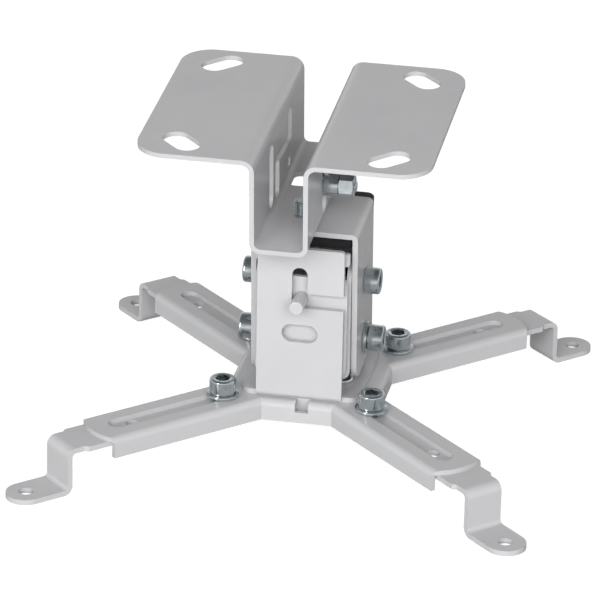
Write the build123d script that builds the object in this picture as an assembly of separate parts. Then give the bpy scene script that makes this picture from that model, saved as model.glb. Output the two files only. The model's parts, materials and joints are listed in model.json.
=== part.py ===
from build123d import *
import os
import math

# ---------------------------------------------------------------------------
# Projector ceiling mount, millimetres, +Z up.
# Origin: middle of the four foot tongues' underside, which is the plane of
# the device that hangs below (and the table when the mount stands on its
# feet). +X is to the right and -Y is the front.
# ---------------------------------------------------------------------------
Z_TOP = 20.0            # top face of the spider above the foot underside

# ceiling bracket (hat section)
HAT_W, HAT_D = 109.6, 94.8
HAT_X, HAT_Y = -5.4, 9.0        # its middle over the base
HAT_T = 1.8
HAT_DEPTH = 37.1                 # top plane to channel underside
CH_W = 21.8                      # channel outer width
HAT_CORNER_R = 12.0
BEND_TOP_R, BEND_TOP_RI = 4.8, 3.0
BEND_BOT_R, BEND_BOT_RI = 4.0, 2.2
S1_U, S1_W = 31.8, 7.2           # first hook slot: middle from the front edge, width
S1_V0, S1_V1 = 1.7, 27.4         # its ends above the channel floor
SB_D = 5.0                       # side bolt
STUD_OUT = 6.2                   # swivel bolt above the channel floor
FL_SLOT_X, FL_SLOT_Y = 38.5, 35.5
FL_SLOT_CC, FL_SLOT_W = 7.4, 10.0

# swivel yoke
YK_W, YK_D, YK_T = 40.3, 32.8, 2.0
YK_TOP = Z_TOP + 67.5
YK_BOT = Z_TOP + 6.1
YK_BEND = 2.3
YK_CORNER = 6.0
SWIVEL_X, SWIVEL_Y = -3.0, -6.5

# tilt bracket, inside the yoke
TB_W, TB_D, TB_T = 36.0, 45.0, 1.8
TB_BOT = Z_TOP + 7.6
TB_SIDE_TOP = Z_TOP + 54.0
TB_FRONT_TOP = Z_TOP + 48.9
TB_EAR_TOP = Z_TOP + 59.4         # ears at the upper corners of the front wall
TB_EAR_HW = 17.8
TB_FRONT_HW = 17.2               # half width of the front wall
PIVOT_Z = Z_TOP + 16.85          # lower screws: tilt axis
CLAMP_Z = Z_TOP + 41.05          # upper screws, in the yoke's own frame
TILT = 4.0                       # degrees, rear up, as in the photo: yoke and ceiling bracket
PEG_D = 5.4
PEG_X = -0.1
PEG_Z = Z_TOP + 40.5
PEG_OUT = 33.5                   # peg tip from the middle, along Y

# base bracket
BB_W, BB_T = 45.2, 2.0
BB_HALF_D = 25.5                 # outer face of the front plate
BB_PLATE_W = 32.6
BB_TOP = Z_TOP + 61.2
BB_REAR_TOP = Z_TOP + 57.9       # rear plate, lower so that the insert's lip clears it
LS_X = -0.3
LS_W = 5.9                       # L slot width
LS_TOP = Z_TOP + 53.6
LS_BOT = Z_TOP + 37.5
OB_Z, OB_CC, OB_W = Z_TOP + 27.0, 6.6, 7.1

# spider
SP_T = 1.8
ARM_HW = 11.1                    # half width of an arm
ARM_END = 94.3                   # radius of the corners of an arm's end
ARM_BULGE = 3.2
SKIRT = 8.0
HUB = 29.0
SLOT_W = 7.0
SLOT_IN, SLOT_OUT = 40.1, 86.3   # centres of the slot's ends
BEND_R = 2.6
NOTCH_X0, NOTCH_X1, NOTCH_Y, NOTCH_DEPTH = -0.6, 4.4, -24.2, 3.8

# feet
FT_T = 2.0
FT_HW = 8.8                      # half width inside the arm
FT_NECK = 7.5
FT_IN = 33.0
FT_SHOULDER = 103.8
FT_WEB = 112.2
FT_HOLE_R = 125.6
FT_BEND = 3.6
FT_HOLE_D = 5.5
FT_HOLE2_R = 79.6


os.makedirs("parts", exist_ok=True)
NODES = {}


def cyl_z(x, y, z0, z1, r):
    return Pos(x, y, (z0 + z1) / 2) * Cylinder(r, z1 - z0)


def cyl_x(x0, x1, y, z, r):
    return Pos((x0 + x1) / 2, y, z) * Rot(0, 90, 0) * Cylinder(r, abs(x1 - x0))


def cyl_y(y0, y1, x, z, r):
    return Pos(x, (y0 + y1) / 2, z) * Rot(90, 0, 0) * Cylinder(r, abs(y1 - y0))


def box(x0, x1, y0, y1, z0, z1):
    return Pos((x0 + x1) / 2, (y0 + y1) / 2, (z0 + z1) / 2) * Box(
        abs(x1 - x0), abs(y1 - y0), abs(z1 - z0))


def fillet_at(face, pts, r, tol=0.05):
    """Round the corners of a planar sketch that lie at pts (local x, y)."""
    sel = [v for v in face.vertices()
           if any(abs(v.X - a) < tol and abs(v.Y - b) < tol for a, b in pts)]
    return fillet(sel, r)


def soften(solid, r, keep=None):
    """Round the cut edges of a sheet, as the coat of paint does."""
    edges = solid.edges()
    if keep is not None:
        edges = edges.filter_by(keep)
    try:
        out = fillet(edges, r)
        if out.is_valid and out.volume > 0.9 * solid.volume:
            return out
    except Exception:
        pass
    return solid


# ---------------------------------------------------------------------------
# fasteners, built along +Z with the bearing face of the head at z = 0
# ---------------------------------------------------------------------------
def cap_screw(length, head_d=10.0, head_h=6.0, d=6.0, af=5.0, socket=3.0):
    head = Pos(0, 0, head_h / 2) * Cylinder(head_d / 2, head_h)
    head = fillet(head.edges().filter_by(GeomType.CIRCLE).group_by(Axis.Z)[-1], 0.7)
    socket_cut = Pos(0, 0, head_h - socket) * extrude(
        RegularPolygon(af / 2, 6, major_radius=False), socket + 1)
    head = head - socket_cut
    shank = Pos(0, 0, -length / 2) * Cylinder(d / 2, length)
    shank = chamfer(shank.edges().filter_by(GeomType.CIRCLE).group_by(Axis.Z)[0], 0.6)
    return (head + shank).solid()


def hex_nut(af=10.0, h=5.0, bore=6.0):
    body = extrude(RegularPolygon(af / 2, 6, major_radius=False), h)
    cone = Pos(0, 0, h / 2) * Cylinder(af / 2 * 1.1, h)
    cone = chamfer(cone.edges().filter_by(GeomType.CIRCLE), 0.55)
    body = body & cone
    return (body - Pos(0, 0, h / 2) * Cylinder(bore / 2, h + 2)).solid()


def washer(od=12.4, idia=6.4, h=1.4):
    w = Pos(0, 0, h / 2) * (Cylinder(od / 2, h) - Cylinder(idia / 2, h + 1))
    return w.solid()


# ---------------------------------------------------------------------------
# ceiling bracket
# ---------------------------------------------------------------------------
HZ = YK_TOP + HAT_DEPTH          # ceiling plane
HB = YK_TOP                      # channel underside, on the yoke
C = HAT_X
XL, XR = HAT_X - HAT_W / 2, HAT_X + HAT_W / 2
CI, CO = CH_W / 2 - HAT_T, CH_W / 2
Y0, Y1 = HAT_Y - HAT_D / 2, HAT_Y + HAT_D / 2


def hat():
    pts = [(XL, HZ), (C - CI, HZ), (C - CI, HB + HAT_T), (C + CI, HB + HAT_T),
           (C + CI, HZ), (XR, HZ), (XR, HZ - HAT_T), (C + CO, HZ - HAT_T),
           (C + CO, HB), (C - CO, HB), (C - CO, HZ - HAT_T), (XL, HZ - HAT_T)]
    f = make_face(Polyline(*pts, close=True))
    f = fillet_at(f, [(C - CI, HZ), (C + CI, HZ)], BEND_TOP_R)
    f = fillet_at(f, [(C - CO, HZ - HAT_T), (C + CO, HZ - HAT_T)], BEND_TOP_RI)
    f = fillet_at(f, [(C - CI, HB + HAT_T), (C + CI, HB + HAT_T)], BEND_BOT_RI)
    f = fillet_at(f, [(C - CO, HB), (C + CO, HB)], BEND_BOT_R)
    body = Pos(0, Y1, 0) * Rot(90, 0, 0) * extrude(f, HAT_D)
    plan = Pos(HAT_X, HAT_Y, HB - 5) * extrude(
        RectangleRounded(HAT_W, HAT_D, HAT_CORNER_R), HAT_DEPTH + 10)
    body = body & plan
    # four slots in the flanges, square to the diagonals
    for sx in (-1, 1):
        for sy in (-1, 1):
            ang = -45 * sx * sy
            cut = Pos(HAT_X + sx * FL_SLOT_X, HAT_Y + sy * FL_SLOT_Y, HZ - 5) * Rot(
                0, 0, ang) * extrude(SlotCenterToCenter(FL_SLOT_CC, FL_SLOT_W), 10)
            body = body - cut
    # hook slots in both walls: u runs back from the front edge, v up from the floor
    zf = HB + HAT_T

    def wall_cut(face):
        # sketch in (u, v), extruded through both walls
        s = extrude(face, CH_W + 4)
        return Pos(C - CH_W / 2 - 2, Y0, zf) * Plane.YZ.location * s

    slot1 = Pos(S1_U, (S1_V0 + S1_V1) / 2) * Rot(0, 0, 90) * SlotOverall(S1_V1 - S1_V0, S1_W)
    body = body - wall_cut(slot1)
    s2 = make_face(Polyline(
        (39.4, 1.2), (39.4, 17.9), (62.9, 16.3), (62.9, 27.0), (69.9, 27.0),
        (69.9, 12.3), (46.6, 14.0), (46.6, 1.2), close=True))
    s2 = fillet_at(s2, [(62.9, 27.0), (69.9, 27.0)], 3.3)
    s2 = fillet_at(s2, [(39.4, 17.9), (69.9, 12.3)], 2.4)
    s2 = fillet_at(s2, [(62.9, 16.3), (46.6, 14.0)], 1.2)
    s2 = fillet_at(s2, [(39.4, 1.2), (46.6, 1.2)], 2.0)
    body = body - wall_cut(s2)
    # small round hole behind the hook slot
    body = body - cyl_x(C - CO - 2, C + CO + 2, Y0 + 65.2, zf + 4.9, 2.4)
    # window in the floor
    win = Pos(C, Y0 + 61.2, HB - 2) * extrude(RectangleRounded(14.2, 12.2, 2.6), HAT_T + 4)
    body = body - win
    # tapped hole for the swivel bolt
    body = body - cyl_z(SWIVEL_X, SWIVEL_Y, HB - 1, HB + 6, 3.0)
    return body.solid()


NODES["ceiling_bracket"] = hat()

# swivel bolt: head and washer under the yoke, screwed up through the channel
yk_in = YK_TOP - YK_T
w = Pos(SWIVEL_X, SWIVEL_Y, yk_in - 1.2) * washer(12.0, 6.2, 1.2)
NODES["swivel_washer"] = w.solid()
sb = Pos(SWIVEL_X, SWIVEL_Y, yk_in - 1.2) * Rot(180, 0, 0) * cap_screw(
    1.2 + YK_T + HAT_T + STUD_OUT, head_h=3.6, socket=2.2, af=4.0)
NODES["swivel_bolt"] = sb.solid()

# side bolt through the first hook slot of the right wall: low round head
# inside, spacer and hexagon nut outside
SB_Y = Y0 + S1_U
SB_Z = HB + HAT_T + 13.4
SPACER_L, SNUT_AF, SNUT_H = 5.8, 8.4, 5.6
xw = C + CO
head = cyl_x(C + CI - 1.2, C + CI, SB_Y, SB_Z, 5.6)
shank = cyl_x(C + CI, xw + SPACER_L + SNUT_H + 0.8, SB_Y, SB_Z, SB_D / 2)
NODES["side_bolt"] = (head + shank).solid()
sp = cyl_x(xw, xw + SPACER_L, SB_Y, SB_Z, 4.4) - cyl_x(xw - 1, xw + SPACER_L + 1, SB_Y, SB_Z, SB_D / 2)
NODES["side_spacer"] = sp.solid()
NODES["side_nut"] = (Pos(xw + SPACER_L, SB_Y, SB_Z) * Rot(0, 90, 0) * Rot(0, 0, -18) * hex_nut(
    SNUT_AF, SNUT_H, SB_D)).solid()


# ---------------------------------------------------------------------------
# swivel yoke
# ---------------------------------------------------------------------------
def yoke():
    h = YK_W / 2
    pts = [(-h, YK_BOT), (-h, YK_TOP), (h, YK_TOP), (h, YK_BOT), (h - YK_T, YK_BOT),
           (h - YK_T, YK_TOP - YK_T), (-h + YK_T, YK_TOP - YK_T), (-h + YK_T, YK_BOT)]
    f = make_face(Polyline(*pts, close=True))
    f = fillet_at(f, [(-h, YK_TOP), (h, YK_TOP)], YK_BEND)
    f = fillet_at(f, [(-h + YK_T, YK_TOP - YK_T), (h - YK_T, YK_TOP - YK_T)], YK_BEND - 2.0)
    body = Pos(0, YK_D / 2, 0) * Rot(90, 0, 0) * extrude(f, YK_D)
    # side view: rounded lower corners
    side = make_face(Polyline((-YK_D / 2, YK_BOT), (YK_D / 2, YK_BOT),
                              (YK_D / 2, YK_TOP + 5), (-YK_D / 2, YK_TOP + 5), close=True))
    side = fillet_at(side, [(-YK_D / 2, YK_BOT), (YK_D / 2, YK_BOT)], YK_CORNER)
    body = body & (Pos(-h - 1, 0, 0) * Plane.YZ.location * extrude(side, YK_W + 2))
    body = body - cyl_z(SWIVEL_X, SWIVEL_Y, YK_TOP - 4, YK_TOP + 1, 3.06)
    body = body - cyl_x(-h - 1, h + 1, 0, PIVOT_Z, 3.06)
    body = body - cyl_x(-h - 1, h + 1, 0, CLAMP_Z, 3.0)
    return body.solid()


NODES["swivel_yoke"] = yoke()


# black insert under the top of the yoke, with a lip behind its rear edge
def liner():
    h = YK_W / 2 - YK_T - 0.0
    zb, zt = YK_TOP - YK_T - 5.0, YK_TOP - YK_T
    body = box(-h + 0.9, h - 0.9, -YK_D / 2 + 2.0, YK_D / 2, zb, zt)
    lip = box(-h - 1.7, h + 1.7, YK_D / 2, YK_D / 2 + 5.2, YK_TOP - 4.2, YK_TOP - 0.2)
    lip = fillet(lip.edges().filter_by(Axis.Z).group_by(Axis.Y)[-1], 3.2)
    lip = fillet(lip.edges().filter_by(Axis.X).group_by(Axis.Y)[-1].group_by(Axis.Z)[-1], 0.8)
    body = body + lip
    # pocket for the head of the swivel bolt, hollow below
    body = body - cyl_z(SWIVEL_X, SWIVEL_Y, zb - 1, zt + 1, 6.6)
    return body.solid()


NODES["yoke_insert"] = liner()


# ---------------------------------------------------------------------------
# tilt bracket: a folded tray, open at its corners, with two pegs
# ---------------------------------------------------------------------------
def tilt_bracket():
    hx, hy = TB_W / 2, TB_D / 2
    # left and right walls with the floor
    pts = [(-hx, TB_SIDE_TOP), (-hx, TB_BOT), (hx, TB_BOT), (hx, TB_SIDE_TOP),
           (hx - TB_T, TB_SIDE_TOP), (hx - TB_T, TB_BOT + TB_T),
           (-hx + TB_T, TB_BOT + TB_T), (-hx + TB_T, TB_SIDE_TOP)]
    f = make_face(Polyline(*pts, close=True))
    f = fillet_at(f, [(-hx, TB_BOT), (hx, TB_BOT)], 2.6)
    f = fillet_at(f, [(-hx + TB_T, TB_BOT + TB_T), (hx - TB_T, TB_BOT + TB_T)], 0.8)
    ly = hy - 3.0
    u = Pos(0, ly, 0) * Rot(90, 0, 0) * extrude(f, 2 * ly)
    side = make_face(Polyline((-ly, TB_BOT - 1), (ly, TB_BOT - 1), (ly, TB_SIDE_TOP),
                              (-ly, TB_SIDE_TOP), close=True))
    side = fillet_at(side, [(ly, TB_SIDE_TOP), (-ly, TB_SIDE_TOP)], 9.0)
    u = u & (Pos(-hx - 1, 0, 0) * Plane.YZ.location * extrude(side, TB_W + 2))
    # front and rear walls, narrower than the tray
    wf = hx - TB_T - 0.6
    pts = [(-hy, TB_FRONT_TOP), (-hy, TB_BOT), (hy, TB_BOT), (hy, TB_FRONT_TOP),
           (hy - TB_T, TB_FRONT_TOP), (hy - TB_T, TB_BOT + TB_T),
           (-hy + TB_T, TB_BOT + TB_T), (-hy + TB_T, TB_FRONT_TOP)]
    f = make_face(Polyline(*pts, close=True))
    f = fillet_at(f, [(-hy, TB_BOT), (hy, TB_BOT)], 2.6)
    f = fillet_at(f, [(-hy + TB_T, TB_BOT + TB_T), (hy - TB_T, TB_BOT + TB_T)], 0.8)
    v = Pos(-wf, 0, 0) * Plane.YZ.location * extrude(f, 2 * wf)
    body = u + v
    # the front wall covers the front edges of the side walls
    wide = make_face(Polyline(
        (-TB_FRONT_HW, TB_BOT + 3), (TB_FRONT_HW, TB_BOT + 3), (TB_FRONT_HW, TB_FRONT_TOP),
        (-TB_FRONT_HW, TB_FRONT_TOP), close=True))
    wide = fillet_at(wide, [(TB_FRONT_HW, TB_FRONT_TOP), (-TB_FRONT_HW, TB_FRONT_TOP)], 2.6)
    wide = fillet_at(wide, [(TB_FRONT_HW, TB_BOT + 3), (-TB_FRONT_HW, TB_BOT + 3)], 1.4)
    body = body + Pos(0, -hy + TB_T, 0) * Rot(90, 0, 0) * extrude(wide, TB_T)
    # ears at its upper corners, hooked outwards over the side walls
    for s in (-1, 1):
        ear = make_face(Polyline(
            (s * 10.0, TB_FRONT_TOP - 2), (s * 14.4, TB_FRONT_TOP - 2), (s * 14.4, TB_SIDE_TOP + 0.4),
            (s * TB_EAR_HW, TB_SIDE_TOP + 0.4), (s * TB_EAR_HW, TB_EAR_TOP), (s * 10.0, TB_EAR_TOP),
            close=True))
        ear = fillet_at(ear, [(s * TB_EAR_HW, TB_SIDE_TOP + 0.4), (s * TB_EAR_HW, TB_EAR_TOP),
                              (s * 10.0, TB_EAR_TOP)], 1.0)
        body = body + Pos(0, -hy + TB_T, 0) * Rot(90, 0, 0) * extrude(ear, TB_T)
    body = body - cyl_x(-hx - 1, hx + 1, 0, PIVOT_Z, 3.0)
    # arc slots for the clamp screws, about the tilt axis
    arc = CenterArc((0, PIVOT_Z), CLAMP_Z - PIVOT_Z, 90 - 8.6, 17.2)
    band = SlotArc(arc, 6.2)
    body = body - (Pos(-hx - 1, 0, 0) * Plane.YZ.location * extrude(band, TB_W + 2))
    body = body - cyl_y(-hy - 1, hy + 1, PEG_X, PEG_Z, 2.0)
    return body.solid()


NODES["tilt_bracket"] = tilt_bracket()

pegs = []
for s in (-1, 1):
    hy = TB_D / 2
    p = cyl_y(s * hy, s * PEG_OUT, PEG_X, PEG_Z, PEG_D / 2)
    tip = p.edges().filter_by(GeomType.CIRCLE).sort_by(Axis.Y)[0 if s < 0 else -1]
    p = fillet([tip], 0.5)
    p = p + cyl_y(s * (hy - TB_T), s * hy, PEG_X, PEG_Z, 2.0)
    p = p + cyl_y(s * (hy - TB_T - 0.9), s * (hy - TB_T), PEG_X, PEG_Z, 3.2)
    pegs.append(p.solid())
NODES["hook_pegs"] = Compound(children=pegs)

# clamp screws (upper) and pivot screws with washers (lower), nuts inside
ps, pn, ls, lw, ln = [], [], [], [], []
for s in (-1, 1):
    xo = YK_W / 2
    xi = TB_W / 2 - TB_T
    gap = 0.06
    sc = Pos(s * xo, 0, CLAMP_Z) * Rot(0, 90 * s, 0) * cap_screw(xo - xi + 6.4)
    ls.append(sc.solid())
    ln.append((Pos(s * (xi - gap), 0, CLAMP_Z) * Rot(0, -90 * s, 0) * hex_nut()).solid())
    wsh = Pos(s * (xo + gap), 0, PIVOT_Z) * Rot(0, 90 * s, 0) * washer(12.4, 6.4, 1.6)
    lw.append(wsh.solid())
    sc = Pos(s * (xo + gap + 1.6), 0, PIVOT_Z) * Rot(0, 90 * s, 0) * cap_screw(
        xo + gap + 1.6 - xi + 6.4)
    ps.append(sc.solid())
    pn.append((Pos(s * xi, 0, PIVOT_Z) * Rot(0, -90 * s, 0) * hex_nut()).solid())
NODES["tilt_clamp_screws"] = Compound(children=ls)
NODES["tilt_clamp_nuts"] = Compound(children=ln)
NODES["tilt_pivot_screws"] = Compound(children=ps)
NODES["tilt_pivot_washers"] = Compound(children=lw)
NODES["tilt_pivot_nuts"] = Compound(children=pn)


# ---------------------------------------------------------------------------
# base bracket: base plate with a front and a rear plate bent up
# ---------------------------------------------------------------------------
BS_X, BS_Y = 13.8, 9.0


def base_bracket():
    hd, hp = BB_HALF_D, BB_PLATE_W / 2
    # plan of the base plate, wider than the plates
    plate = Pos(0, 0, Z_TOP) * extrude(RectangleRounded(BB_W, 2 * (hd - 1.5), 4.5), BB_T)
    pts = [(-hd, BB_TOP), (-hd, Z_TOP), (hd, Z_TOP), (hd, BB_TOP), (hd - BB_T, BB_TOP),
           (hd - BB_T, Z_TOP + BB_T), (-hd + BB_T, Z_TOP + BB_T), (-hd + BB_T, BB_TOP)]
    f = make_face(Polyline(*pts, close=True))
    f = fillet_at(f, [(-hd, Z_TOP), (hd, Z_TOP)], 2.2)
    f = fillet_at(f, [(-hd + BB_T, Z_TOP + BB_T), (hd - BB_T, Z_TOP + BB_T)], 0.8)
    u = Pos(-hp, 0, 0) * Plane.YZ.location * extrude(f, 2 * hp)
    body = u + plate
    # rounded upper corners of the plates
    front = make_face(Polyline((-30, Z_TOP - 1), (30, Z_TOP - 1), (30, Z_TOP + 6), (hp, Z_TOP + 6),
                               (hp, BB_TOP), (-hp, BB_TOP), (-hp, Z_TOP + 6), (-30, Z_TOP + 6),
                               close=True))
    front = fillet_at(front, [(hp, BB_TOP), (-hp, BB_TOP)], 1.4)
    body = body - box(-hp - 1, hp + 1, 0, hd + 5, BB_REAR_TOP, BB_TOP + 2)
    body = body & (Pos(0, 40, 0) * Rot(90, 0, 0) * extrude(front, 80))
    # L slot: upright leg and a leg out to the right edge, in both plates
    leg = Pos(LS_X, (LS_TOP + LS_BOT) / 2) * Rot(0, 0, 90) * SlotOverall(LS_TOP - LS_BOT, LS_W)
    foot_pts = [(0, LS_BOT), (0, LS_BOT + LS_W), (hp + 4, LS_BOT + LS_W), (hp + 4, LS_BOT)]
    out = make_face(Polyline(*foot_pts, close=True))
    lcut = Pos(0, 40, 0) * Rot(90, 0, 0) * (extrude(leg, 80) + extrude(out, 80))
    body = body - lcut
    ob = Pos(0, OB_Z) * SlotCenterToCenter(OB_CC, OB_W)
    body = body - (Pos(0, 40, 0) * Rot(90, 0, 0) * extrude(ob, 80))
    for sx in (-1, 1):
        for sy in (-1, 1):
            body = body - cyl_z(sx * BS_X, sy * BS_Y, Z_TOP - 1, Z_TOP + 4, 2.0)
    return body.solid()


NODES["base_bracket"] = base_bracket()

bs, bn = [], []
for sx in (-1, 1):
    for sy in (-1, 1):
        hd = Pos(0, 0, 1.0) * Cylinder(4.0, 2.0)
        hd = fillet(hd.edges().filter_by(GeomType.CIRCLE).group_by(Axis.Z)[-1], 1.2)
        cross = box(-2.1, 2.1, -0.45, 0.45, 0.8, 3) + box(-0.45, 0.45, -2.1, 2.1, 0.8, 3)
        hd = hd - cross
        sh = Pos(0, 0, -4.0) * Cylinder(2.0, 8.0)
        bs.append((Pos(sx * BS_X, sy * BS_Y, Z_TOP + BB_T) * (hd + sh)).solid())
        bn.append((Pos(sx * BS_X, sy * BS_Y, Z_TOP - SP_T - 3.2) * hex_nut(7.0, 3.2, 4.0)).solid())
NODES["base_screws"] = Compound(children=bs)
NODES["base_nuts"] = Compound(children=bn)


# ---------------------------------------------------------------------------
# spider: hub and four arms with skirts turned down, one sheet
# ---------------------------------------------------------------------------
def spider_plan(inset, end_extra=0.0):
    """Union of the hub and the arms in plan, drawn in by inset."""
    hub = Rectangle(2 * (HUB - inset), 2 * (HUB - inset))
    hw = ARM_HW - inset
    plan = hub
    for k in range(4):
        e = ARM_END + end_extra
        arm = make_face([
            Line((0, -hw), (e, -hw)),
            ThreePointArc((e, -hw), (e + ARM_BULGE, 0), (e, hw)),
            Line((e, hw), (0, hw)),
            Line((0, hw), (0, -hw))])
        plan = plan + Rot(0, 0, 45 + 90 * k) * arm
    return plan


def spider():
    zt, zb = Z_TOP, Z_TOP - SKIRT
    outer = spider_plan(0)
    body = Pos(0, 0, zb) * extrude(outer, SKIRT)
    # soften the bend between the top and the skirts
    top_edges = body.edges().filter_by(GeomType.LINE).group_by(Axis.Z)[-1]
    body = fillet(top_edges, BEND_R)
    inner = spider_plan(SP_T, end_extra=SP_T + 6)
    core = Pos(0, 0, zb - 1) * extrude(inner, SKIRT + 1 - SP_T)
    ce = core.edges().filter_by(GeomType.LINE).group_by(Axis.Z)[-1]
    core = fillet(ce, 0.4)
    body = body - core
    # cut the ends of the skirts square
    for k in range(4):
        cut = Rot(0, 0, 45 + 90 * k) * box(ARM_END, ARM_END + 20, -30, 30, zb - 1, zt - SP_T)
        body = body - cut
        slot = Rot(0, 0, 45 + 90 * k) * Pos((SLOT_IN + SLOT_OUT) / 2, 0, zt - 5) * extrude(
            SlotCenterToCenter(SLOT_OUT - SLOT_IN, SLOT_W), 10)
        body = body - slot
    for sx in (-1, 1):
        for sy in (-1, 1):
            body = body - cyl_z(sx * BS_X, sy * BS_Y, zt - 5, zt + 1, 2.0)
    # notch in front of the base bracket, over the bend into the skirt
    body = body - box(NOTCH_X0, NOTCH_X1, -HUB - 1, NOTCH_Y, zt - NOTCH_DEPTH, zt + 1)
    # its tongue is bent down behind it
    body = body + box(NOTCH_X0 - 1, NOTCH_X1 + 1, NOTCH_Y, NOTCH_Y + SP_T, zt - SKIRT, zt - 0.6)
    return body.solid()


NODES["spider"] = spider()


# ---------------------------------------------------------------------------
# feet, screws, washers and nuts
# ---------------------------------------------------------------------------
def foot():
    zt = Z_TOP - SP_T                     # strip lies under the arm
    zl = FT_T                             # top of the tongue
    # side view in (r, z)
    r_end = FT_HOLE_R + FT_NECK
    pts = [(FT_IN, zt), (FT_WEB, zt), (FT_WEB, zl), (r_end, zl), (r_end, 0),
           (FT_WEB - FT_T, 0), (FT_WEB - FT_T, zt - FT_T), (FT_IN, zt - FT_T)]
    f = make_face(Polyline(*pts, close=True))
    f = fillet_at(f, [(FT_WEB, zt), (FT_WEB - FT_T, 0)], FT_BEND)
    f = fillet_at(f, [(FT_WEB, zl), (FT_WEB - FT_T, zt - FT_T)], FT_BEND - FT_T)
    body = Pos(0, 20, 0) * Rot(90, 0, 0) * extrude(f, 40)
    # plan: wide strip, rounded shoulders, neck, round tongue
    w, n = FT_HW, FT_NECK
    plan = make_face([
        Line((FT_IN, -w), (FT_SHOULDER, -w)),
        Line((FT_SHOULDER, -w), (FT_SHOULDER + 1.4, -n)),
        Line((FT_SHOULDER + 1.4, -n), (FT_HOLE_R, -n)),
        ThreePointArc((FT_HOLE_R, -n), (FT_HOLE_R + n, 0), (FT_HOLE_R, n)),
        Line((FT_HOLE_R, n), (FT_SHOULDER + 1.4, n)),
        Line((FT_SHOULDER + 1.4, n), (FT_SHOULDER, w)),
        Line((FT_SHOULDER, w), (FT_IN, w)),
        Line((FT_IN, w), (FT_IN, -w))])
    plan = fillet_at(plan, [(FT_SHOULDER, -w), (FT_SHOULDER, w)], 1.2)
    plan = fillet_at(plan, [(FT_IN, -w), (FT_IN, w)], 3.0)
    body = body & (Pos(0, 0, -1) * extrude(plan, Z_TOP + 4))
    body = body - cyl_z(SLOT_IN, 0, zt - 5, zt + 1, 3.0)
    body = body - cyl_z(FT_HOLE2_R, 0, zt - 5, zt + 1, 2.75)
    body = body - cyl_z(FT_HOLE_R, 0, -1, 5, FT_HOLE_D / 2)
    return body.solid()


for name, ang in (("front_right", -45), ("rear_right", 45), ("rear_left", 135),
                  ("front_left", -135)):
    R = Rot(0, 0, ang)
    NODES["foot_" + name] = (R * foot()).solid()
    NODES["arm_washer_" + name] = (R * Pos(SLOT_IN, 0, Z_TOP) * washer()).solid()
    NODES["arm_screw_" + name] = (R * Pos(SLOT_IN, 0, Z_TOP + 1.4) * Rot(0, 0, 12) * cap_screw(
        1.4 + SP_T + FT_T + 6.2)).solid()
    NODES["arm_nut_" + name] = (R * Pos(SLOT_IN, 0, Z_TOP - SP_T - FT_T - 5.0) * hex_nut()).solid()

# ---------------------------------------------------------------------------
# yoke, ceiling bracket and what they carry stand tilted about the pivot screws
TILTED = ("ceiling_bracket", "swivel_bolt", "swivel_washer", "side_bolt", "side_spacer",
          "side_nut", "swivel_yoke", "yoke_insert", "tilt_clamp_screws", "tilt_clamp_nuts")
TURN = Pos(0, 0, PIVOT_Z) * Rot(TILT, 0, 0) * Pos(0, 0, -PIVOT_Z)


def turned(shape):
    solids = [(TURN * one).solid() for one in shape.solids()]
    return solids[0] if len(solids) == 1 else Compound(children=solids)


for name in TILTED:
    NODES[name] = turned(NODES[name])

for name, shape in NODES.items():
    export_step(shape, f"parts/{name}.step")
print(len(NODES), "nodes")
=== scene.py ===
import json
import math

import bmesh
import bpy
from mathutils import Matrix, Vector


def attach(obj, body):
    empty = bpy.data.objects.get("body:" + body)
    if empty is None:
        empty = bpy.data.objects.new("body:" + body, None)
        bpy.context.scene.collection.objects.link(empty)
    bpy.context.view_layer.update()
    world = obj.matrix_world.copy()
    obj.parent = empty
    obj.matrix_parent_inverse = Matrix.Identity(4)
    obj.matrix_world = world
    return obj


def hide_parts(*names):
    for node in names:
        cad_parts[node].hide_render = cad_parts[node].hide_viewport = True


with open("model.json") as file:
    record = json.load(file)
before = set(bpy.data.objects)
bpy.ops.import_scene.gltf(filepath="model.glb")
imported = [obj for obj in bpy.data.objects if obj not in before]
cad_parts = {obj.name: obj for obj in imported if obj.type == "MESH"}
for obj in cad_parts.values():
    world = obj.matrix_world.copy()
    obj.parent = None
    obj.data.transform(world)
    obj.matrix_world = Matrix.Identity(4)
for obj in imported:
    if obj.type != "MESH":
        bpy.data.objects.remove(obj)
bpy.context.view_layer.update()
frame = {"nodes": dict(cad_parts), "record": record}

MM = 0.001
NODES = frame["nodes"]

# ---------------------------------------------------------------------------
# sizes repeated from the CAD, in mm
# ---------------------------------------------------------------------------
Z_TOP = 20.0
YK_TOP = Z_TOP + 67.5
YK_T, HAT_T = 2.0, 1.8
PIVOT_Z, CLAMP_Z = Z_TOP + 16.85, Z_TOP + 41.05
TILT = 4.0
YK_W, TB_W, TB_T = 40.3, 36.0, 1.8
HAT_X, HAT_Y = -5.4, 9.0
CH_HALF = 10.9
SWIVEL_X, SWIVEL_Y = -3.0, -6.5
STUD_OUT = 6.2
SB_Y, SB_Z = HAT_Y - 47.4 + 31.8, YK_TOP + HAT_T + 13.4
SLOT_IN = 40.1
BS_X, BS_Y = 13.8, 9.0
ARMS = {"front_right": -45, "rear_right": 45, "rear_left": 135, "front_left": -135}


# ---------------------------------------------------------------------------
# node helpers
# ---------------------------------------------------------------------------
def new_material(name):
    m = bpy.data.materials.new(name)
    m.use_nodes = True
    nt = m.node_tree
    nt.nodes.clear()
    out = nt.nodes.new("ShaderNodeOutputMaterial")
    bsdf = nt.nodes.new("ShaderNodeBsdfPrincipled")
    nt.links.new(bsdf.outputs[0], out.inputs[0])
    coord = nt.nodes.new("ShaderNodeTexCoord")
    return m, nt, bsdf, coord.outputs["Object"]


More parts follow.
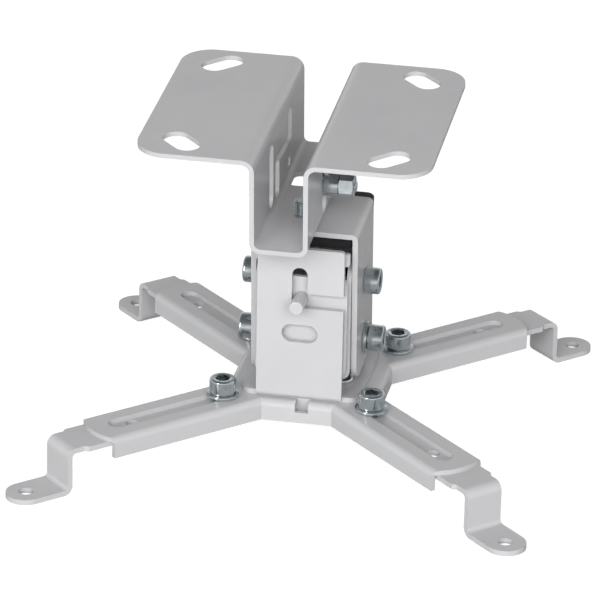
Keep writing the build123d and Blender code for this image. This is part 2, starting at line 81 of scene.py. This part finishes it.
def noise(nt, vec, scale, detail=3.0, rough=0.5, stretch=None):
    if stretch is not None:
        mp = nt.nodes.new("ShaderNodeMapping")
        mp.inputs["Scale"].default_value = stretch
        nt.links.new(vec, mp.inputs["Vector"])
        vec = mp.outputs[0]
    n = nt.nodes.new("ShaderNodeTexNoise")
    n.inputs["Scale"].default_value = scale
    n.inputs["Detail"].default_value = detail
    n.inputs["Roughness"].default_value = rough
    nt.links.new(vec, n.inputs["Vector"])
    return n.outputs["Fac"]


def ramp(nt, fac, stops):
    r = nt.nodes.new("ShaderNodeValToRGB")
    el = r.color_ramp.elements
    while len(el) < len(stops):
        el.new(0.5)
    for e, (p, c) in zip(el, stops):
        e.position = p
        e.color = (c[0], c[1], c[2], 1.0)
    nt.links.new(fac, r.inputs["Fac"])
    return r.outputs["Color"]


def map_range(nt, fac, a, b, lo, hi):
    r = nt.nodes.new("ShaderNodeMapRange")
    r.inputs["From Min"].default_value = a
    r.inputs["From Max"].default_value = b
    r.inputs["To Min"].default_value = lo
    r.inputs["To Max"].default_value = hi
    nt.links.new(fac, r.inputs["Value"])
    return r.outputs["Result"]


def bump(nt, height, strength, distance, normal=None):
    b = nt.nodes.new("ShaderNodeBump")
    b.inputs["Strength"].default_value = strength
    b.inputs["Distance"].default_value = distance
    nt.links.new(height, b.inputs["Height"])
    if normal is not None:
        nt.links.new(normal, b.inputs["Normal"])
    return b.outputs["Normal"]


def paint_material():
    """Light grey gloss enamel with a faint orange peel."""
    m, nt, p, vec = new_material("gloss_enamel")
    tone = noise(nt, vec, 35.0, 4.0, 0.55)
    col = ramp(nt, tone, [(0.30, (0.415, 0.415, 0.425)), (0.55, (0.430, 0.430, 0.438)),
                          (0.80, (0.420, 0.420, 0.428))])
    nt.links.new(col, p.inputs["Base Color"])
    r = map_range(nt, noise(nt, vec, 160.0, 3.0), 0.3, 0.7, 0.17, 0.23)
    nt.links.new(r, p.inputs["Roughness"])
    p.inputs["IOR"].default_value = 1.5
    peel = noise(nt, vec, 520.0, 2.0, 0.45)
    n1 = bump(nt, peel, 0.14, 0.00012)
    fine = noise(nt, vec, 2600.0, 1.0)
    n2 = bump(nt, fine, 0.05, 0.00002, n1)
    nt.links.new(n2, p.inputs["Normal"])
    return m


def zinc_material():
    """Bright zinc with a bluish passivation."""
    m, nt, p, vec = new_material("blue_zinc")
    tone = noise(nt, vec, 240.0, 4.0, 0.6)
    col = ramp(nt, tone, [(0.30, (0.47, 0.53, 0.56)), (0.52, (0.61, 0.66, 0.68)),
                          (0.75, (0.70, 0.73, 0.74))])
    nt.links.new(col, p.inputs["Base Color"])
    p.inputs["Metallic"].default_value = 1.0
    r = map_range(nt, noise(nt, vec, 700.0, 3.0), 0.3, 0.7, 0.12, 0.22)
    nt.links.new(r, p.inputs["Roughness"])
    n1 = bump(nt, noise(nt, vec, 1500.0, 3.0), 0.08, 0.00003)
    nt.links.new(n1, p.inputs["Normal"])
    return m


# Near-black material for the part inside the yoke: painted shade, its black stands in for the deep shade
# inside the yoke.
def shade_black_material():
    m, nt, p, vec = new_material("black_shade_fill")
    tone = noise(nt, vec, 90.0, 3.0)
    col = ramp(nt, tone, [(0.3, (0.010, 0.010, 0.011)), (0.7, (0.018, 0.018, 0.019))])
    nt.links.new(col, p.inputs["Base Color"])
    r = map_range(nt, noise(nt, vec, 400.0, 2.0), 0.3, 0.7, 0.42, 0.55)
    nt.links.new(r, p.inputs["Roughness"])
    p.inputs["Specular IOR Level"].default_value = 0.22
    nt.links.new(bump(nt, noise(nt, vec, 1800.0, 2.0), 0.2, 0.00003), p.inputs["Normal"])
    return m


PAINT, ZINC, SHADE_BLACK = paint_material(), zinc_material(), shade_black_material()
# the black_plastic slot gets the near-black painted-shade material
LOOK = {"paint": PAINT, "zinc": ZINC, "black_plastic": SHADE_BLACK}
slot_of = {s["node"]: s["material_slot"] for s in frame["record"]["subparts"]}
for name, o in NODES.items():
    mat = LOOK[slot_of[name]]
    if not o.material_slots:
        o.data.materials.append(mat)
    for s in o.material_slots:
        s.material = mat


# ---------------------------------------------------------------------------
# mesh helpers: everything is built along +Z, in mm, then placed
# ---------------------------------------------------------------------------
def lathe(bm, profile, seg=64, cap_first=False, cap_last=False):
    """Turn (r, z) points about Z. Points at r = 0 close to a centre vertex."""
    rings = []
    for r, z in profile:
        if r < 1e-6:
            rings.append([bm.verts.new((0, 0, z))])
        else:
            rings.append([bm.verts.new((r * math.cos(2 * math.pi * i / seg),
                                        r * math.sin(2 * math.pi * i / seg), z))
                          for i in range(seg)])
    for a, b in zip(rings, rings[1:]):
        for i in range(seg):
            j = (i + 1) % seg
            if len(a) == 1 and len(b) == 1:
                continue
            if len(a) == 1:
                bm.faces.new((a[0], b[j], b[i]))
            elif len(b) == 1:
                bm.faces.new((a[i], a[j], b[0]))
            else:
                bm.faces.new((a[i], a[j], b[j], b[i]))
    return rings


def bridge(bm, a, b):
    n = len(a)
    for i in range(n):
        j = (i + 1) % n
        bm.faces.new((a[i], a[j], b[j], b[i]))


def thread(bm, r, z0, z1, pitch=1.0, depth=0.55, seg=40, tip=0.7, close_top=True):
    """A right-hand external thread from z0 (root end) to z1 (tip) as one closed skin."""
    per = 6
    rings = []
    length = z1 - z0
    n = max(2, int(round(length / pitch * per)))
    for k in range(n + 1):
        z = z0 + length * k / n
        ring = []
        for i in range(seg):
            a = 2 * math.pi * i / seg
            ph = ((z / pitch) - a / (2 * math.pi)) % 1.0
            tri = 1.0 - abs(2.0 * ph - 1.0)           # 0 at the root, 1 at the crest
            crest = min(1.0, max(0.0, (tri - 0.08) / 0.80))
            rr = r - depth * (1.0 - crest)
            # fade the thread out at the tip chamfer
            d = z1 - z
            if d < tip:
                rr = min(rr, r - depth - 0.15 + (depth + 0.15) * d / tip)
            ring.append(bm.verts.new((rr * math.cos(a), rr * math.sin(a), z)))
        rings.append(ring)
    for a, b in zip(rings, rings[1:]):
        bridge(bm, a, b)
    if close_top:
        c = bm.verts.new((0, 0, z1 - 0.05))
        last = rings[-1]
        for i in range(seg):
            bm.faces.new((last[i], last[(i + 1) % seg], c))
    c = bm.verts.new((0, 0, z0))
    first = rings[0]
    for i in range(seg):
        bm.faces.new((first[(i + 1) % seg], first[i], c))
    return rings


def hexa(af, i, seg=48):
    """Radius of a hexagon of that width across flats, in the direction of point i."""
    a = 2 * math.pi * i / seg
    k = math.radians(60)
    b = (a % k) - k / 2
    return af / 2 / math.cos(b)


def cap_head(bm, d=10.0, h=6.0, af=5.0, depth=3.2, seg=96):
    """Socket-head of a cap screw with a hexagonal socket."""
    R = d / 2

    def ring(f, z):
        return [bm.verts.new((f(i) * math.cos(2 * math.pi * i / seg),
                              f(i) * math.sin(2 * math.pi * i / seg), z)) for i in range(seg)]
    rings = []
    rings.append(ring(lambda i: 0.25, 0.0))
    rings.append(ring(lambda i: R - 0.45, 0.0))
    rings.append(ring(lambda i: R - 0.10, 0.22))
    rings.append(ring(lambda i: R, 0.55))
    rings.append(ring(lambda i: R, h - 1.25))
    for t in (15, 35, 55, 75, 90):
        a = math.radians(t)
        rings.append(ring(lambda i, a=a: R - 0.9 + 0.9 * math.cos(a), h - 0.9 + 0.9 * math.sin(a)))
    # rim inwards to the countersink of the socket
    rings.append(ring(lambda i: af / 2 / math.cos(math.pi / 6) + 0.30, h))
    rings.append(ring(lambda i: min(hexa(af, i, seg) + 0.02, af / 2 / math.cos(math.pi / 6)), h - 0.30))
    rings.append(ring(lambda i: hexa(af, i, seg), h - 0.45))
    rings.append(ring(lambda i: hexa(af, i, seg), h - depth))
    rings.append(ring(lambda i: hexa(af, i, seg) * 0.5, h - depth - 0.25))
    for a, b in zip(rings, rings[1:]):
        bridge(bm, a, b)
    c = bm.verts.new((0, 0, h - depth - 0.8))
    for i in range(seg):
        bm.faces.new((rings[-1][i], rings[-1][(i + 1) % seg], c))
    c = bm.verts.new((0, 0, 0.0))
    for i in range(seg):
        bm.faces.new((rings[0][(i + 1) % seg], rings[0][i], c))


def washer_mesh(bm, od, idia, h, seg=96):
    ro, ri, e = od / 2, idia / 2, min(0.22, h / 4)
    prof = [(ri, e), (ri + e, 0), (ro - 1.6 * e, 0), (ro - 0.45 * e, 0.45 * e), (ro, 1.6 * e),
            (ro, h - 1.6 * e), (ro - 0.45 * e, h - 0.45 * e), (ro - 1.6 * e, h), (ri + e, h),
            (ri, h - e), (ri, e)]
    rings = lathe(bm, prof[:-1], seg)
    bridge(bm, rings[-1], rings[0])


def nut_mesh(bm, af=10.0, h=5.0, bore=6.0, seg=96, pitch=1.0):
    """Hexagon nut with 30 degree chamfered corners and a countersunk bore."""
    rc = af / 2 / math.cos(math.pi / 6)

    def ring(f, zf):
        out = []
        for i in range(seg):
            a = 2 * math.pi * i / seg
            out.append(bm.verts.new((f(i) * math.cos(a), f(i) * math.sin(a), zf(i))))
        return out

    def drop(i):
        # the cone leaves the corners lower than the middle of each flat
        return (hexa(af, i, seg) - af / 2 + 0.12) * math.tan(math.radians(30))
    b = bore / 2
    rings = [ring(lambda i: b - 0.25, lambda i: 0.75),
             ring(lambda i: b + 0.30, lambda i: 0.12),
             ring(lambda i: b + 0.30, lambda i: 0.0),
             ring(lambda i: af / 2 - 0.12, lambda i: 0.0),
             ring(lambda i: hexa(af, i, seg), lambda i: drop(i)),
             ring(lambda i: hexa(af, i, seg), lambda i: h - drop(i)),
             ring(lambda i: af / 2 - 0.12, lambda i: h),
             ring(lambda i: b + 0.30, lambda i: h),
             ring(lambda i: b + 0.30, lambda i: h - 0.12),
             ring(lambda i: b - 0.25, lambda i: h - 0.75)]
    for x, y in zip(rings, rings[1:]):
        bridge(bm, x, y)
    bridge(bm, rings[-1], rings[0])


def make(name, build, mat, placements, smooth=35):
    """Build one mesh along +Z and copy it to each placement matrix, in mm."""
    bm = bmesh.new()
    build(bm)
    bmesh.ops.recalc_face_normals(bm, faces=bm.faces)
    base = bpy.data.meshes.new("tmp_" + name)
    bm.to_mesh(base)
    bm.free()
    out = bmesh.new()
    for m in placements:
        me = base.copy()
        me.transform(m)
        out.from_mesh(me)
        bpy.data.meshes.remove(me)
    bpy.data.meshes.remove(base)
    me = bpy.data.meshes.new(name)
    out.to_mesh(me)
    out.free()
    me.transform(Matrix.Scale(MM, 4))
    me.materials.append(mat)
    ob = bpy.data.objects.new(name, me)
    bpy.context.scene.collection.objects.link(ob)
    me.shade_smooth()
    me.set_sharp_from_angle(angle=math.radians(smooth))
    return ob


def along_x(s):
    """Local +Z to +X (s=1) or -X (s=-1)."""
    return Matrix.Rotation(math.radians(90 * s), 4, "Y")


def T(x, y, z):
    return Matrix.Translation((x, y, z))


def cap_screw(length):
    def build(bm):
        cap_head(bm)
        b2 = bmesh.new()
        thread(b2, 2.97, 0.0, length, seg=40)
        me = bpy.data.meshes.new("t")
        b2.to_mesh(me)
        b2.free()
        me.transform(Matrix.Rotation(math.pi, 4, "X"))
        bm.from_mesh(me)
        bpy.data.meshes.remove(me)
    return build


# arm screws, washers and nuts
for a, ang in ARMS.items():
    R = Matrix.Rotation(math.radians(ang), 4, "Z")
    body = "foot_" + a
    turn = {"front_right": 20, "rear_right": 65, "rear_left": 5, "front_left": 38}[a]
    o = make("screw_" + a, cap_screw(1.4 + 1.8 + 2.0 + 6.2), ZINC,
             [R @ T(SLOT_IN, 0, Z_TOP + 1.4) @ Matrix.Rotation(math.radians(turn), 4, "Z")])
    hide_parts("arm_screw_" + a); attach(o, body)
    o = make("washer_" + a, lambda bm: washer_mesh(bm, 12.4, 6.4, 1.4), ZINC,
             [R @ T(SLOT_IN, 0, Z_TOP)])
    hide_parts("arm_washer_" + a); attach(o, body)
    o = make("nut_" + a, lambda bm: nut_mesh(bm), ZINC,
             [R @ T(SLOT_IN, 0, Z_TOP - 1.8 - 2.0 - 5.0)])
    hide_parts("arm_nut_" + a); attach(o, body)

# the yoke and the ceiling bracket stand tilted about the pivot screws
TURN = (T(0, 0, PIVOT_Z) @ Matrix.Rotation(math.radians(TILT), 4, "X") @ T(0, 0, -PIVOT_Z))

# tilt screws: clamp screws above, pivot screws with washers below
xo, xi, gap = YK_W / 2, TB_W / 2 - TB_T, 0.06
o = make("clamp_screws", cap_screw(xo - xi + 6.4), ZINC,
         [TURN @ T(s * xo, 0, CLAMP_Z) @ along_x(s) @ Matrix.Rotation(0.3 * s, 4, "Z") for s in (-1, 1)])
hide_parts("tilt_clamp_screws"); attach(o, "yoke")
o = make("clamp_nuts", lambda bm: nut_mesh(bm), ZINC,
         [TURN @ T(s * (xi - gap), 0, CLAMP_Z) @ along_x(-s) for s in (-1, 1)])
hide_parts("tilt_clamp_nuts"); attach(o, "yoke")
o = make("pivot_screws", cap_screw(xo + gap + 1.6 - xi + 6.4), ZINC,
         [T(s * (xo + gap + 1.6), 0, PIVOT_Z) @ along_x(s) @ Matrix.Rotation(0.7 * s, 4, "Z")
          for s in (-1, 1)])
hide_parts("tilt_pivot_screws"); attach(o, "tilt_frame")
o = make("pivot_washers", lambda bm: washer_mesh(bm, 12.4, 6.4, 1.6), ZINC,
         [T(s * (xo + gap), 0, PIVOT_Z) @ along_x(s) for s in (-1, 1)])
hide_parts("tilt_pivot_washers"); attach(o, "tilt_frame")
o = make("pivot_nuts", lambda bm: nut_mesh(bm), ZINC,
         [T(s * xi, 0, PIVOT_Z) @ along_x(-s) for s in (-1, 1)])
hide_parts("tilt_pivot_nuts"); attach(o, "tilt_frame")


# swivel bolt: low head below, threaded end above the channel floor
def swivel_build(bm):
    cap_head(bm, 10.0, 3.6, 4.0, 2.2)
    b2 = bmesh.new()
    thread(b2, 2.97, 0.0, 1.2 + YK_T + HAT_T + STUD_OUT, seg=48)
    me = bpy.data.meshes.new("t")
    b2.to_mesh(me)
    b2.free()
    me.transform(Matrix.Rotation(math.pi, 4, "X"))
    bm.from_mesh(me)
    bpy.data.meshes.remove(me)


o = make("swivel_stud", swivel_build, ZINC,
         [TURN @ T(SWIVEL_X, SWIVEL_Y, YK_TOP - YK_T - 1.2) @ Matrix.Rotation(math.pi, 4, "X")])
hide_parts("swivel_bolt"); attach(o, "ceiling")

# side bolt, spacer and nut on the right wall of the channel
place = [TURN @ T(HAT_X + CH_HALF, SB_Y, SB_Z) @ along_x(1)]


def side_bolt(bm):
    lathe(bm, [(0, -3.0), (4.4, -3.0), (5.2, -2.85), (5.6, -2.45), (5.6, -1.8), (2.47, -1.8),
               (2.47, 1.0)], 64)
    thread(bm, 2.47, 0.9, 5.8 + 5.6 + 0.8, pitch=0.8, depth=0.45, seg=48, tip=0.5)


o = make("side_bolt_end", side_bolt, ZINC, place)
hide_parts("side_bolt"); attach(o, "ceiling")
o = make("side_spacer_ring", lambda bm: washer_mesh(bm, 8.8, 5.1, 5.8), ZINC, place)
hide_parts("side_spacer"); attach(o, "ceiling")
o = make("side_nut_hex", lambda bm: nut_mesh(bm, af=8.4, h=5.6, bore=5.0), ZINC,
         [place[0] @ T(0, 0, 5.8) @ Matrix.Rotation(math.radians(-18), 4, "Z")])
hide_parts("side_nut"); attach(o, "ceiling")


# ---------------------------------------------------------------------------
# floor, light and camera
# ---------------------------------------------------------------------------
def plain(name, col, rough):
    m = bpy.data.materials.new(name)
    m.use_nodes = True
    p = m.node_tree.nodes["Principled BSDF"]
    p.inputs["Base Color"].default_value = (*col, 1)
    p.inputs["Roughness"].default_value = rough
    return m


FLOOR_GREY, FLOOR_GLOW, FLOOR_WHITE = 0.45, 0.94, 0.16
bpy.ops.mesh.primitive_plane_add(size=12, location=(0, 0, -0.0002))
floor = bpy.context.object
floor.name = "floor"
fm = plain("floor_white", (FLOOR_GREY, FLOOR_GREY, FLOOR_GREY), 0.8)
nt = fm.node_tree
grey = nt.nodes["Principled BSDF"]
grey.inputs["Specular IOR Level"].default_value = 0.0
glow = nt.nodes.new("ShaderNodeEmission")
glow.inputs[0].default_value = (1, 1, 1, 1)
glow.inputs[1].default_value = FLOOR_GLOW
faint = nt.nodes.new("ShaderNodeBsdfDiffuse")
faint.inputs[0].default_value = (FLOOR_WHITE, FLOOR_WHITE, FLOOR_WHITE, 1)
both = nt.nodes.new("ShaderNodeAddShader")
nt.links.new(glow.outputs[0], both.inputs[0])
nt.links.new(faint.outputs[0], both.inputs[1])
seen = nt.nodes.new("ShaderNodeLightPath")
mix = nt.nodes.new("ShaderNodeMixShader")
nt.links.new(seen.outputs["Is Camera Ray"], mix.inputs[0])
nt.links.new(grey.outputs[0], mix.inputs[1])
nt.links.new(both.outputs[0], mix.inputs[2])
nt.links.new(mix.outputs[0], nt.nodes["Material Output"].inputs[0])
floor.data.materials.append(fm)

# soft studio surroundings: dimmer overhead than near the horizon
world = bpy.data.worlds.new("studio")
bpy.context.scene.world = world
world.use_nodes = True
nt = world.node_tree
bg = nt.nodes["Background"]
tc = nt.nodes.new("ShaderNodeTexCoord")
sep = nt.nodes.new("ShaderNodeSeparateXYZ")
nt.links.new(tc.outputs["Generated"], sep.inputs[0])
grad = nt.nodes.new("ShaderNodeValToRGB")
grad.color_ramp.elements.new(0.5)
grad.color_ramp.elements.new(0.7)
for e, (pos, v) in zip(grad.color_ramp.elements, [(0.0, 0.88), (0.30, 0.64), (0.62, 0.20), (1.0, 0.10)]):
    e.position = pos
    e.color = (v, v, v, 1)
nt.links.new(sep.outputs["Z"], grad.inputs[0])
nt.links.new(grad.outputs[0], bg.inputs[0])
bg.inputs[1].default_value = 1.12
white = nt.nodes.new("ShaderNodeBackground")
white.inputs[0].default_value = (1, 1, 1, 1)
white.inputs[1].default_value = 1.0
seen = nt.nodes.new("ShaderNodeLightPath")
mix = nt.nodes.new("ShaderNodeMixShader")
nt.links.new(seen.outputs["Is Camera Ray"], mix.inputs[0])
nt.links.new(bg.outputs[0], mix.inputs[1])
nt.links.new(white.outputs[0], mix.inputs[2])
nt.links.new(mix.outputs[0], nt.nodes["World Output"].inputs[0])


def area(name, loc, target, size, power, size_y=None, color=(1, 1, 1)):
    l = bpy.data.lights.new(name, "AREA")
    l.energy = power
    l.color = color
    l.size = size
    if size_y:
        l.shape = "RECTANGLE"
        l.size_y = size_y
    ob = bpy.data.objects.new(name, l)
    bpy.context.scene.collection.objects.link(ob)
    ob.location = loc
    ob.rotation_euler = (Vector(target) - Vector(loc)).to_track_quat("-Z", "Y").to_euler()
    return ob


# a broad panel in front lights the paint, and a dimmer strip is what the zinc mirrors
soft = area("front_soft", (0.24, -1.62, 0.82), (0, 0, 0.07), 2.2, 48.0, size_y=1.0)
soft.visible_glossy = False
back = area("rear_soft", (-0.70, 1.60, 0.95), (0, 0, 0.07), 1.6, 6.0, size_y=1.0)
back.visible_glossy = False
area("front_strip", (-0.95, -1.45, 0.62), (0, 0, 0.07), 0.34, 6.5, size_y=1.1)

# camera fitted to the photograph
f_px, yaw, pitch, roll = 4075.087299, -0.186871996, 0.41065877, 0.020372201
tx, ty, tz = 4.258736196, -27.443888573, 1550.802752874
fwd = Vector((math.sin(yaw) * math.cos(pitch), math.cos(yaw) * math.cos(pitch), -math.sin(pitch)))
right = Vector((math.cos(yaw), -math.sin(yaw), 0))
up = right.cross(fwd)
r_ax = math.cos(roll) * right + math.sin(roll) * up
u_ax = -math.sin(roll) * right + math.cos(roll) * up
loc = (-tx * r_ax - ty * u_ax - tz * fwd + Vector((0, 0, Z_TOP))) * MM
cam = bpy.data.cameras.new("camera")
cam.sensor_width = 36
cam.lens = f_px / 600 * 36
cam.clip_start, cam.clip_end = 0.05, 50
co = bpy.data.objects.new("camera", cam)
bpy.context.scene.collection.objects.link(co)
m = Matrix((r_ax, u_ax, -fwd)).transposed().to_4x4()
m.translation = loc
co.matrix_world = m
bpy.context.scene.camera = co
bpy.context.scene.view_settings.view_transform = "Standard"
